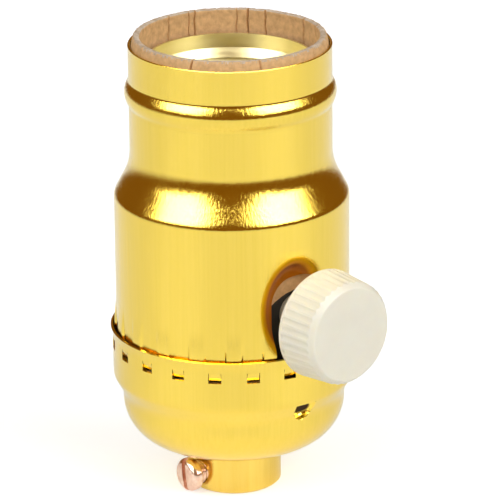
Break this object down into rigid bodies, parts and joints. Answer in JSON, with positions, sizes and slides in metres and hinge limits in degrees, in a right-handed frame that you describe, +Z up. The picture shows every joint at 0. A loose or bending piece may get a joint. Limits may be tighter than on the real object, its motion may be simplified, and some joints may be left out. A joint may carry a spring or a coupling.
{
  "type": "lamp socket dimmer",
  "caption": "Metal-shell lamp socket with a turn-knob dimmer: gilt shell and cap, cardboard liner, screw shell for a medium lamp base, and a threaded hub with a set screw.",
  "frame": {"origin": "centre of the hub's lower face, where the stem enters", "axes": "+Z up along the lamp axis towards the lamp, -Y along the knob's axis out of the shell"},
  "size_m": [0.0406, 0.0502, 0.0777],
  "materials": {
    "gilt": "polished gilt",
    "hub_metal": "polished",
    "kraft_board": "raw kraft",
    "fibre": "vulcanised fibre",
    "thread_metal": "satin",
    "copper_screw": "copper plated",
    "spring_metal": "bright",
    "nickel_metal": "nickel plated",
    "ivory_plastic": "moulded",
    "shaft_plastic": "moulded",
    "black_moulding": "moulded",
    "board_material": "laminate",
    "can_metal": "plated",
    "rotor_plastic": "moulded",
    "track_carbon": "carbon film",
    "plate_aluminium": "milled",
    "film_case": "dipped",
    "ferrite": "sintered",
    "winding_copper": "enamelled",
    "diac_glass": "sealed glass",
    "resistor_coat": "lacquered"
  },
  "bodies": {
    "socket": {"shell": "gilt", "cap": "gilt", "stem_bushing": "hub_metal", "set_screw": "copper_screw", "insulating_liner": "kraft_board", "cap_liner": "fibre", "screw_shell": "thread_metal", "center_contact": "spring_metal", "contact_rivet": "nickel_metal", "shell_rivets": "nickel_metal", "socket_base": "black_moulding", "dimmer_housing": "black_moulding", "assembly_screws": "nickel_metal", "neutral_terminal": "spring_metal", "line_terminal": "spring_metal", "line_screw": "spring_metal", "neutral_screw": "nickel_metal", "circuit_board": "board_material", "switch_case": "rotor_plastic", "resistance_wafer": "track_carbon", "pot_cover": "can_metal", "filter_capacitor": "film_case", "choke_core": "ferrite", "choke_winding": "winding_copper", "triac": "black_moulding", "heat_plate": "plate_aluminium", "triac_rivet": "nickel_metal", "timing_capacitor": "film_case", "diac": "diac_glass", "resistors": "resistor_coat"},
    "knob": {"knob": "ivory_plastic", "shaft": "shaft_plastic", "rotor": "rotor_plastic", "wiper": "spring_metal"}
  },
  "joints": [
    {"name": "knob_turn", "type": "hinge", "parent": "socket", "child": "knob", "pos_m": [0, -0.0226, 0.034], "axis": [0, 1, 0], "range_deg": [0, 300]}
  ]
}
